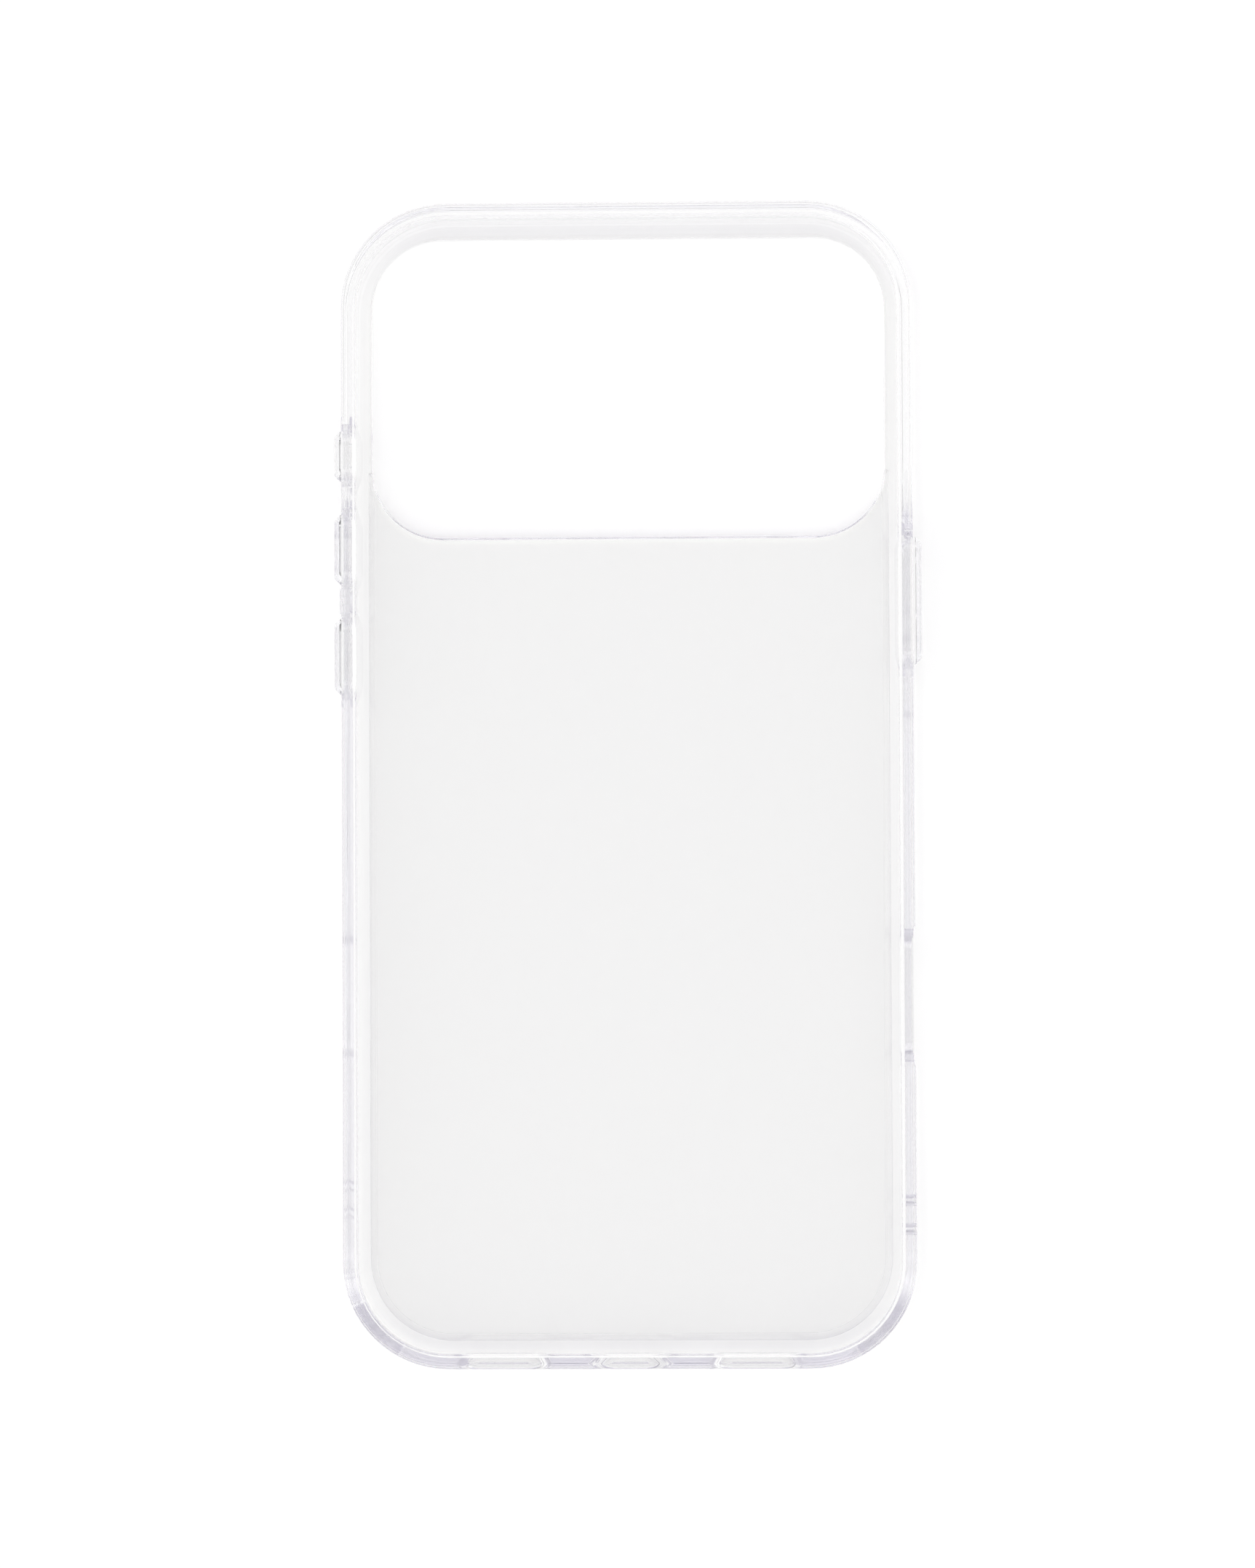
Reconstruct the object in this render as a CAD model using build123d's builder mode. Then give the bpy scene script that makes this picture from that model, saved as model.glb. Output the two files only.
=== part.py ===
"""Clear phone case: a hard back plate held in a soft bumper frame, with four press buttons.

The case lies on its back. X runs across it, Y towards its camera end and Z out of its open face.
The origin is the middle of the case on the plane that it lies on. All sizes are in millimetres.
"""
from build123d import *
import os

os.makedirs("parts", exist_ok=True)

# The phone that the case holds
phone_width = 71.9
phone_length = 150.0
phone_depth = 8.75
phone_corner_radius = 12.25

# The shell round it
side_clearance = 0.2
depth_clearance = 0.05
wall = 1.45
plate_thickness = 1.3
lip_height = 1.05
lip_overhang = 0.55
front_edge_radius = 0.75
lip_edge_radius = 0.4
lip_root_radius = 0.4
floor_fillet_radius = 1.8
back_edge_radius = 3.6

# The camera opening, which takes nearly the whole width
camera_width = 68.4
camera_bottom = 33.1
camera_top = 73.2
camera_corner_radius = 9.4
camera_edge_radius = 0.35

# The joint between plate and frame: a scarf joint, so the plate is widest on the outer face
seam_inset = 2.75
seam_top = 42.0
seam_bevel_angle = 40

# The openings in the bottom wall flare outwards: lengths and heights at the inner and the outer face
port_inner = (8.8, 5.4)
port_outer = (12.6, 6.5)
speaker_inner = (11.4, 5.4)
speaker_outer = (13.4, 6.5)
speaker_offset = 16.6

# The slot over the phone's touch control, in a shallow scoop of the right wall
control_y = -28.0
control_length = 17.6
control_height = 5.2
scoop_depth = 0.3
scoop_length = 20.4
scoop_end_radius = 2.0

# Two holes for a wrist strap
strap_hole_radius = 0.75
strap_hole_ys = (-54.9, -58.7)

# The buttons: side (-1 left, 1 right), middle along Y, length
button_places = {
    "action_button": (-1, 43.7, 6.7),
    "volume_up_button": (-1, 31.3, 9.3),
    "volume_down_button": (-1, 17.1, 10.1),
    "side_button": (1, 24.1, 16.8),
}
pad_height = 4.2
pad_corner_radius = 1.6
pad_stand_out = 1.25
pad_bevel = 0.75
pad_edge_radius = 0.3
pad_inner_recess = 0.35
pusher_height = 1.6
pusher_end_inset = 1.6
web_width = 0.8
web_thickness = 0.45
web_recess = 0.35
pocket_depth = 0.4
pocket_margin = 1.9
bridge_stand_out = 0.45
bridge_end_radius = 1.0
bridge_edge_radius = 0.3

# Worked out from the above
cavity_width = phone_width + 2 * side_clearance
cavity_length = phone_length + 2 * side_clearance
cavity_radius = phone_corner_radius + side_clearance
body_width = cavity_width + 2 * wall
body_length = cavity_length + 2 * wall
body_radius = cavity_radius + wall
floor_z = plate_thickness
lip_z = floor_z + phone_depth + depth_clearance
top_z = lip_z + lip_height
middle_z = floor_z + phone_depth / 2
camera_length = camera_top - camera_bottom
camera_y = (camera_top + camera_bottom) / 2
cut_margin = 1.0
scoop_width = 3 * scoop_end_radius
_, volume_up_y, volume_up_length = button_places["volume_up_button"]
_, volume_down_y, volume_down_length = button_places["volume_down_button"]
bridge_top = volume_up_y - volume_up_length / 2 - web_width
bridge_bottom = volume_down_y + volume_down_length / 2 + web_width
bridge_y = (bridge_top + bridge_bottom) / 2
bridge_length = bridge_top - bridge_bottom + bridge_end_radius


def side_plane(side, x):
    """A plane square to a side wall, this far from the middle: its X runs along Y, its Z outwards."""
    return Plane(origin=(side * x, 0, middle_z), x_dir=(0, side, 0), z_dir=(side, 0, 0))


def bottom_plane(y):
    """A plane square to the bottom wall, facing out of the case."""
    return Plane(origin=(0, -y, middle_z), x_dir=(1, 0, 0), z_dir=(0, -1, 0))


# The space inside the case: the phone's own, and the mouth between the lips
with BuildPart() as phone_space:
    with BuildSketch(Plane.XY.offset(floor_z)):
        RectangleRounded(cavity_width, cavity_length, cavity_radius)
    extrude(amount=lip_z - floor_z)
    fillet(phone_space.faces().sort_by(Axis.Z)[0].edges(), floor_fillet_radius)
    fillet(phone_space.faces().sort_by(Axis.Z)[-1].edges(), lip_root_radius)
    with BuildSketch(Plane.XY.offset(middle_z)):
        RectangleRounded(
            cavity_width - 2 * lip_overhang,
            cavity_length - 2 * lip_overhang,
            cavity_radius - lip_overhang,
        )
    extrude(amount=top_z + cut_margin - middle_z)

# The whole shell before it is divided into plate and frame
with BuildPart() as shell:
    with BuildSketch():
        RectangleRounded(body_width, body_length, body_radius)
    extrude(amount=top_z)
    fillet(shell.faces().sort_by(Axis.Z)[0].edges(), back_edge_radius)
    add(phone_space.part, mode=Mode.SUBTRACT)
    fillet(shell.faces().sort_by(Axis.Z)[-1].outer_wire().edges(), front_edge_radius)
    fillet(shell.faces().sort_by(Axis.Z)[-1].inner_wires()[0].edges(), lip_edge_radius)
    with BuildSketch(Plane.XY.offset(-cut_margin)):
        with Locations((0, camera_y)):
            RectangleRounded(camera_width, camera_length, camera_corner_radius)
    extrude(amount=floor_z + 2 * cut_margin, mode=Mode.SUBTRACT)
    cut_edges = shell.edges(Select.LAST)
    fillet(cut_edges.filter_by_position(Axis.Z, -camera_edge_radius, camera_edge_radius), camera_edge_radius)

# The part of the shell that is plate, up to the joint
with BuildPart() as plate_region:
    with BuildSketch():
        RectangleRounded(
            body_width - 2 * seam_inset,
            body_length - 2 * seam_inset,
            body_radius - seam_inset,
        )
        with Locations((0, seam_top)):
            Rectangle(body_width, body_length, align=(Align.CENTER, Align.MIN), mode=Mode.SUBTRACT)
    extrude(amount=floor_z + cut_margin, taper=seam_bevel_angle)

# Hard back plate
with BuildPart() as back_plate:
    add(shell.part)
    add(plate_region.part, mode=Mode.INTERSECT)
back_plate.part.label = "back_plate"
export_step(back_plate.part, "parts/back_plate.step")

# Soft frame: walls, lips, curved edges and the surround of the camera opening
with BuildPart() as bumper_frame:
    add(shell.part)
    add(plate_region.part, mode=Mode.SUBTRACT)

    # raised bridge between the two volume buttons
    with BuildSketch(side_plane(-1, body_width / 2 - wall / 2)):
        with Locations((-bridge_y, 0)):
            RectangleRounded(bridge_length, pad_height, bridge_end_radius)
    extrude(amount=wall / 2 + bridge_stand_out)
    fillet(bumper_frame.faces().sort_by(Axis.X)[0].edges(), bridge_edge_radius)

    # button windows, and the pocket round each on the inside
    for side, y, length in button_places.values():
        with BuildSketch(side_plane(side, cavity_width / 2 - cut_margin)):
            with Locations((side * y, 0)):
                RectangleRounded(
                    length + 2 * web_width,
                    pad_height + 2 * web_width,
                    pad_corner_radius + web_width,
                )
        extrude(amount=wall + 2 * cut_margin, mode=Mode.SUBTRACT)
        with BuildSketch(side_plane(side, cavity_width / 2 - cut_margin)):
            with Locations((side * y, 0)):
                RectangleRounded(
                    length + 2 * pocket_margin,
                    pad_height + 2 * pocket_margin,
                    pad_corner_radius + pocket_margin,
                )
        extrude(amount=cut_margin + pocket_depth, mode=Mode.SUBTRACT)

    # slot over the touch control, and the scoop round it
    with BuildSketch():
        with Locations((body_width / 2 - scoop_depth + scoop_width / 2, control_y)):
            RectangleRounded(scoop_width, scoop_length, scoop_end_radius)
    extrude(amount=top_z, mode=Mode.SUBTRACT)
    with BuildSketch(side_plane(1, cavity_width / 2 - cut_margin)):
        with Locations((control_y, 0)):
            SlotOverall(control_length, control_height)
    extrude(amount=wall + 2 * cut_margin, mode=Mode.SUBTRACT)

    # strap holes
    with Locations(side_plane(1, body_width / 2)):
        with Locations(*[(y, 0) for y in strap_hole_ys]):
            Hole(strap_hole_radius, depth=2 * wall)

    # port and speaker openings, each flared from the inner face to the outer one
    for x, inner, outer in (
        (-speaker_offset, speaker_inner, speaker_outer),
        (0, port_inner, port_outer),
        (speaker_offset, speaker_inner, speaker_outer),
    ):
        with BuildSketch(bottom_plane(cavity_length / 2)):
            with Locations((x, 0)):
                SlotOverall(*inner)
        with BuildSketch(bottom_plane(body_length / 2)):
            with Locations((x, 0)):
                SlotOverall(*outer)
        loft(mode=Mode.SUBTRACT)
bumper_frame.part.label = "bumper_frame"
export_step(bumper_frame.part, "parts/bumper_frame.step")

# Buttons: each is a pad that stands out of its window, with a pusher inside, on a thin flexible web
for name, (side, y, length) in button_places.items():
    with BuildPart() as pad:
        with BuildSketch(side_plane(side, cavity_width / 2 + pad_inner_recess)):
            with Locations((side * y, 0)):
                RectangleRounded(length, pad_height, pad_corner_radius)
        extrude(amount=wall - pad_inner_recess + pad_stand_out)
        chamfer(pad.faces().sort_by(Axis((0, 0, 0), (side, 0, 0)))[-1].edges(), pad_bevel)
        fillet(pad.faces().sort_by(Axis((0, 0, 0), (side, 0, 0)))[-1].edges(), pad_edge_radius)
        with BuildSketch(side_plane(side, cavity_width / 2)):
            with Locations((side * y, 0)):
                SlotOverall(length - 2 * pusher_end_inset, pusher_height)
        extrude(amount=wall / 2)
    pad.part.label = name
    export_step(pad.part, f"parts/{name}.step")

    with BuildPart() as web:
        with BuildSketch(side_plane(side, body_width / 2 - web_recess - web_thickness)):
            with Locations((side * y, 0)):
                RectangleRounded(
                    length + 2 * web_width,
                    pad_height + 2 * web_width,
                    pad_corner_radius + web_width,
                )
                RectangleRounded(length, pad_height, pad_corner_radius, mode=Mode.SUBTRACT)
        extrude(amount=web_thickness)
    web.part.label = f"{name}_web"
    export_step(web.part, f"parts/{name}_web.step")
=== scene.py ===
"""A clear phone case lying on its back in a white studio, seen from over its open face."""
import math
import bmesh
import bpy
from mathutils import Euler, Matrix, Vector


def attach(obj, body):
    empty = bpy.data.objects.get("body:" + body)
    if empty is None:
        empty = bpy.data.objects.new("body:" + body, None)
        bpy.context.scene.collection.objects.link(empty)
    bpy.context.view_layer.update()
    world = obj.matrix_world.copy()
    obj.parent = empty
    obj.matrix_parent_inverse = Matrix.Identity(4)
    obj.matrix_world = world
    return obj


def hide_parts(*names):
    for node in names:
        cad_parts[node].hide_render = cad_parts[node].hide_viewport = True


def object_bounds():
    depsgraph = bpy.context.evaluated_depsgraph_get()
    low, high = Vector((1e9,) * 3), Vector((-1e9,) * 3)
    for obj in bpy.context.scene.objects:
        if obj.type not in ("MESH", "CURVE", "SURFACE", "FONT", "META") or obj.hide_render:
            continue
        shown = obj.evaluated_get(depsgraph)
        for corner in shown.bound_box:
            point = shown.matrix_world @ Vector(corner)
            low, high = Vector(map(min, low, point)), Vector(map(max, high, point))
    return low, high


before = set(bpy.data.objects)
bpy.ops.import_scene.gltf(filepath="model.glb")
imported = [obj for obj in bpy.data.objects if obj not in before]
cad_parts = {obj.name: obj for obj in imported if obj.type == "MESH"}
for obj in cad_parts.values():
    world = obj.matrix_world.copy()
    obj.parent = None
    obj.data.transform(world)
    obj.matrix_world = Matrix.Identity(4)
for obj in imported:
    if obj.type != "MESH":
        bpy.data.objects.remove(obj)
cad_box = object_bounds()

MM = 0.001

# Camera: a long lens over the open face, a little off square, with the case turned a quarter of a degree
CAMERA_DISTANCE = 600 * MM
CAMERA_TURN = (1.72, 1.5, -0.25)
CAMERA_TARGET = Vector((-0.15, 0.06, 5.2)) * MM
CAMERA_SENSOR = 36.0
CAMERA_LENS = 104.0
CAMERA_CLIP = (0.01, 20.0)

# Studio: a white floor just under the case, in a dome that is brightest high up and has a softer cap, where
# the camera looks from. Each step is the height of a direction above the floor and the light from there.
# The dome leans a little, and it grows dimmer and violet towards its far side (+Y), over that range of Y.
FLOOR_RADIUS = 3.0
FLOOR_SIDES = 96
FLOOR_GAP = 0.05 * MM
FLOOR_WHITE = (0.965, 0.965, 0.95, 1)
FLOOR_ROUGHNESS = 0.9
FLOOR_GLOSS = 0.2
DOME_STRENGTH = 1.66
DOME_STEPS = (
    (0.0, 0.2), (0.15, 0.64), (0.5, 0.7), (0.74, 0.72), (0.85, 0.83), (0.955, 0.8), (0.985, 0.46),
)
DOME_LEAN = (-0.1, 0.03, 0.0)
FAR_SIDE = (0.25, 0.8)
FAR_DIMMING = (0.55, 0.53, 0.62)

# The Mix node's colour sockets share their names with its number sockets, so they are taken by place
MIX_FACTOR, MIX_A, MIX_B = 0, 6, 7
MIX_RESULT = 2

# Clear plastics. Absorption is what a metre takes out of the light, as red, green, blue. The grain of each is
# a fine waviness of its skin (its height in metres, and how many waves there are to the metre), and its
# roughness runs from the first number, where it is clean, to the second, where it was handled.
ABSORPTION_DENSITY = 20.0
PLASTICS = {
    "hard": dict(
        tint=(0.935, 0.935, 0.935), absorption=(1.1, 1.2, 0.8), ior=1.585, roughness=(0.0, 0.035),
        grain=1e-7, grain_scale=260.0, scratches=0.03,
    ),
    "soft": dict(
        tint=(0.946, 0.946, 0.945), absorption=(1.1, 1.2, 0.8), ior=1.5, roughness=(0.0, 0.05),
        grain=4e-7, grain_scale=420.0, scratches=0.0,
    ),
    # The buttons get a lighter tint and less absorption than the soft frame. This is painted light, standing
    # in for the light that reaches them through the walls from the low sides.
    "button": dict(
        tint=(0.99, 0.99, 0.992), absorption=(0.6, 0.7, 0.4), ior=1.5, roughness=(0.01, 0.07),
        grain=4e-7, grain_scale=620.0, scratches=0.02,
    ),
    # The webs are lightened the same way, as painted light for what reaches them from the low sides.
    "web": dict(
        tint=(0.99, 0.99, 0.992), absorption=(0.6, 0.7, 0.4), ior=1.5, roughness=(0.04, 0.12),
        grain=8e-7, grain_scale=900.0, scratches=0.0,
    ),
}
SMUDGE_SCALE = 90.0
SMUDGE_DETAIL = 4.0
SMUDGE_BREAKUP = 0.6
SMUDGE_EDGES = (0.56, 0.72)
SCRATCH_SCALE = 130.0
SCRATCH_STRETCH = (1.0, 14.0, 1.0)
SCRATCH_TURN = (0, 0, 0.55)
SCRATCH_WIDTH = 0.012
GRAIN_DETAIL = 2.0

# Moulded-together pieces reach this far into each other, so that light crosses the bond
BEDDING = 0.03 * MM

# The plate's colour is on its skin, except where it is bonded to the frame, which is on its sloping faces
BOND = "bond"
BOND_SLOPES = (0.1, 0.95)
WELD = 1e-7
SHARP_ANGLE = math.radians(30)

# Light is passed on along the clear walls from face to face this many times
BOUNCES = 256


def node(tree, kind, place=(0, 0), **values):
    """A new shader node, with its inputs set by name."""
    made = tree.nodes.new(kind)
    made.location = place
    for key, value in values.items():
        made.inputs[key.replace("_", " ")].default_value = value
    return made


def make_camera():
    """The scene's camera, aimed at the middle of the case."""
    turn = Euler([math.radians(a) for a in CAMERA_TURN])
    data = bpy.data.cameras.new("camera")
    data.sensor_fit = "AUTO"
    data.sensor_width = CAMERA_SENSOR
    data.lens = CAMERA_LENS
    data.clip_start, data.clip_end = CAMERA_CLIP
    camera = bpy.data.objects.new("camera", data)
    camera.rotation_euler = turn
    camera.location = CAMERA_TARGET + turn.to_matrix() @ Vector((0, 0, CAMERA_DISTANCE))
    bpy.context.scene.collection.objects.link(camera)
    bpy.context.scene.camera = camera


def make_dome():
    """The studio's light, as a dome round everything."""
    world = bpy.data.worlds.new("studio")
    bpy.context.scene.world = world
    world.use_nodes = True
    tree = world.node_tree
    tree.nodes.clear()
    out = node(tree, "ShaderNodeOutputWorld", (800, 0))
    light = node(tree, "ShaderNodeBackground", (600, 0), Strength=DOME_STRENGTH)
    way = node(tree, "ShaderNodeTexCoord", (-800, 0))
    parts = node(tree, "ShaderNodeSeparateXYZ", (-600, 0))
    ramp = node(tree, "ShaderNodeValToRGB", (-300, 100))
    lean = node(tree, "ShaderNodeVectorMath", (-300, -200))
    total = node(tree, "ShaderNodeVectorMath", (200, 0))
    far = node(tree, "ShaderNodeMapRange", (200, -300))
    far.interpolation_type = "SMOOTHSTEP"
    far.inputs["From Min"].default_value, far.inputs["From Max"].default_value = FAR_SIDE
    shade = node(tree, "ShaderNodeMix", (400, 0))
    shade.data_type = "RGBA"
    shade.blend_type = "MULTIPLY"
    shade.inputs[MIX_B].default_value = (*FAR_DIMMING, 1)
    ramp.color_ramp.interpolation = "EASE"
    steps = ramp.color_ramp.elements
    while len(steps) < len(DOME_STEPS):
        steps.new(1.0)
    for step, (height, grey) in zip(steps, DOME_STEPS):
        step.position = height
        step.color = (grey, grey, grey, 1)
    lean.operation = "DOT_PRODUCT"
    lean.inputs[1].default_value = DOME_LEAN
    total.operation = "ADD"
    tree.links.new(way.outputs["Generated"], parts.inputs[0])
    tree.links.new(parts.outputs["Z"], ramp.inputs[0])
    tree.links.new(way.outputs["Generated"], lean.inputs[0])
    tree.links.new(ramp.outputs[0], total.inputs[0])
    tree.links.new(lean.outputs["Value"], total.inputs[1])
    tree.links.new(total.outputs[0], shade.inputs[MIX_A])
    tree.links.new(parts.outputs["Y"], far.inputs["Value"])
    tree.links.new(far.outputs["Result"], shade.inputs[MIX_FACTOR])
    tree.links.new(shade.outputs[MIX_RESULT], light.inputs["Color"])
    tree.links.new(light.outputs[0], out.inputs[0])


def make_floor():
    """A sheet of white paper under the case."""
    bpy.ops.mesh.primitive_circle_add(vertices=FLOOR_SIDES, radius=FLOOR_RADIUS, fill_type="NGON")
    floor = bpy.context.object
    floor.name = "floor"
    floor.location.z = -FLOOR_GAP
    material = bpy.data.materials.new("floor_paper")
    material.use_nodes = True
    surface = material.node_tree.nodes["Principled BSDF"]
    surface.inputs["Base Color"].default_value = FLOOR_WHITE
    surface.inputs["Roughness"].default_value = FLOOR_ROUGHNESS
    surface.inputs["Specular IOR Level"].default_value = FLOOR_GLOSS
    floor.data.materials.append(material)


def smudges(tree, place, roughness):
    """Roughness in soft-edged patches, from where the skin is clean to where it was handled."""
    noise = node(
        tree, "ShaderNodeTexNoise", (-1000, 200),
        Scale=SMUDGE_SCALE, Detail=SMUDGE_DETAIL, Roughness=SMUDGE_BREAKUP,
    )
    patches = node(tree, "ShaderNodeMapRange", (-800, 200))
    patches.inputs["From Min"].default_value, patches.inputs["From Max"].default_value = SMUDGE_EDGES
    patches.inputs["To Min"].default_value, patches.inputs["To Max"].default_value = roughness
    tree.links.new(place, noise.inputs["Vector"])
    tree.links.new(noise.outputs[0], patches.inputs["Value"])
    return patches.outputs["Result"]


def scratched(tree, place, rough, scratches):
    """That roughness with a mesh of long hairlines over it."""
    turned = node(tree, "ShaderNodeMapping", (-1200, -200), Rotation=SCRATCH_TURN, Scale=SCRATCH_STRETCH)
    cells = node(tree, "ShaderNodeTexVoronoi", (-1000, -200), Scale=SCRATCH_SCALE)
    cells.feature = "DISTANCE_TO_EDGE"
    lines = node(tree, "ShaderNodeMapRange", (-800, -200))
    lines.inputs["From Max"].default_value = SCRATCH_WIDTH
    lines.inputs["To Min"].default_value, lines.inputs["To Max"].default_value = scratches, 0.0
    rougher = node(tree, "ShaderNodeMath", (-600, 0))
    rougher.operation = "MAXIMUM"
    tree.links.new(place, turned.inputs["Vector"])
    tree.links.new(turned.outputs[0], cells.inputs["Vector"])
    tree.links.new(cells.outputs["Distance"], lines.inputs["Value"])
    tree.links.new(rough, rougher.inputs[0])
    tree.links.new(lines.outputs["Result"], rougher.inputs[1])
    return rougher.outputs[0]


def moulded_skin(tree, place, grain, grain_scale):
    """The fine waviness of a moulded surface, as a normal."""
    waves = node(tree, "ShaderNodeTexNoise", (-1000, -600), Scale=grain_scale, Detail=GRAIN_DETAIL)
    bump = node(tree, "ShaderNodeBump", (-700, -600), Strength=1.0, Distance=grain)
    tree.links.new(place, waves.inputs["Vector"])
    tree.links.new(waves.outputs[0], bump.inputs["Height"])
    return bump.outputs[0]


def bare_where_bonded(material):
    """Takes a material's colour off the faces that the bond attribute marks."""
    tree = material.node_tree
    colour = tree.nodes["Principled BSDF"].inputs["Base Color"]
    bond = node(tree, "ShaderNodeAttribute", (-600, 400))
    bond.attribute_name = BOND
    skin = node(tree, "ShaderNodeMix", (-300, 400))
    skin.data_type = "RGBA"
    skin.inputs[MIX_A].default_value = colour.default_value
    skin.inputs[MIX_B].default_value = (1, 1, 1, 1)
    tree.links.new(bond.outputs["Fac"], skin.inputs[MIX_FACTOR])
    tree.links.new(skin.outputs[MIX_RESULT], colour)


def clear_plastic(name, tint, absorption, ior, roughness, grain, grain_scale, scratches):
    """A clear plastic, coloured both by its skin and by the length of the light's way through it."""
    material = bpy.data.materials.new(name)
    material.use_nodes = True
    tree = material.node_tree
    surface = tree.nodes["Principled BSDF"]
    surface.inputs["Base Color"].default_value = (*tint, 1)
    surface.inputs["Transmission Weight"].default_value = 1.0
    surface.inputs["IOR"].default_value = ior
    place = node(tree, "ShaderNodeTexCoord", (-1400, 0)).outputs["Object"]
    rough = smudges(tree, place, roughness)
    if scratches:
        rough = scratched(tree, place, rough, scratches)
    tree.links.new(rough, surface.inputs["Roughness"])
    tree.links.new(moulded_skin(tree, place, grain, grain_scale), surface.inputs["Normal"])
    depth = node(tree, "ShaderNodeVolumeAbsorption", (0, -500), Density=ABSORPTION_DENSITY)
    depth.inputs["Color"].default_value = [1 - a / ABSORPTION_DENSITY for a in absorption] + [1]
    tree.links.new(depth.outputs[0], tree.nodes["Material Output"].inputs["Volume"])
    return material


def bedded(name, material):
    """Replaces a CAD node by a copy that reaches a hairline into whatever it is moulded to."""
    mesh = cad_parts[name].data.copy()
    mesh.attributes.remove(mesh.attributes["custom_normal"])
    shape = bmesh.new()
    shape.from_mesh(mesh)
    bmesh.ops.remove_doubles(shape, verts=shape.verts, dist=WELD)
    bmesh.ops.recalc_face_normals(shape, faces=shape.faces)
    shape.normal_update()
    ways = [v.normal * v.calc_shell_factor() for v in shape.verts]
    for vertex, way in zip(shape.verts, ways):
        vertex.co += way * BEDDING
        vertex.co.z = max(vertex.co.z, cad_box[0][2])
    bonds = shape.faces.layers.float.new(BOND)
    for face in shape.faces:
        face[bonds] = float(BOND_SLOPES[0] < abs(face.normal.z) < BOND_SLOPES[1])
    shape.to_mesh(mesh)
    shape.free()
    mesh.set_sharp_from_angle(angle=SHARP_ANGLE)
    mesh.materials.clear()
    mesh.materials.append(material)
    piece = bpy.data.objects.new(f"{name}_moulding", mesh)
    bpy.context.scene.collection.objects.link(piece)
    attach(piece, "case")
    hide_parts(name)


make_camera()
make_dome()
make_floor()
plastic = {name: clear_plastic(f"{name}_moulding", **values) for name, values in PLASTICS.items()}
for name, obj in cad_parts.items():
    if name == "back_plate":
        bare_where_bonded(plastic["hard"])
        bedded(name, plastic["hard"])
    elif name.endswith("_web"):
        bedded(name, plastic["web"])
    elif name.endswith("_button"):
        obj.material_slots[0].material = plastic["button"]
    else:
        obj.material_slots[0].material = plastic["soft"]

bpy.context.scene.view_settings.view_transform = "Standard"
cycles = bpy.context.scene.cycles
cycles.max_bounces = BOUNCES
cycles.transmission_bounces = BOUNCES
cycles.glossy_bounces = BOUNCES
cycles.blur_glossy = 0
cycles.sample_clamp_indirect = 0
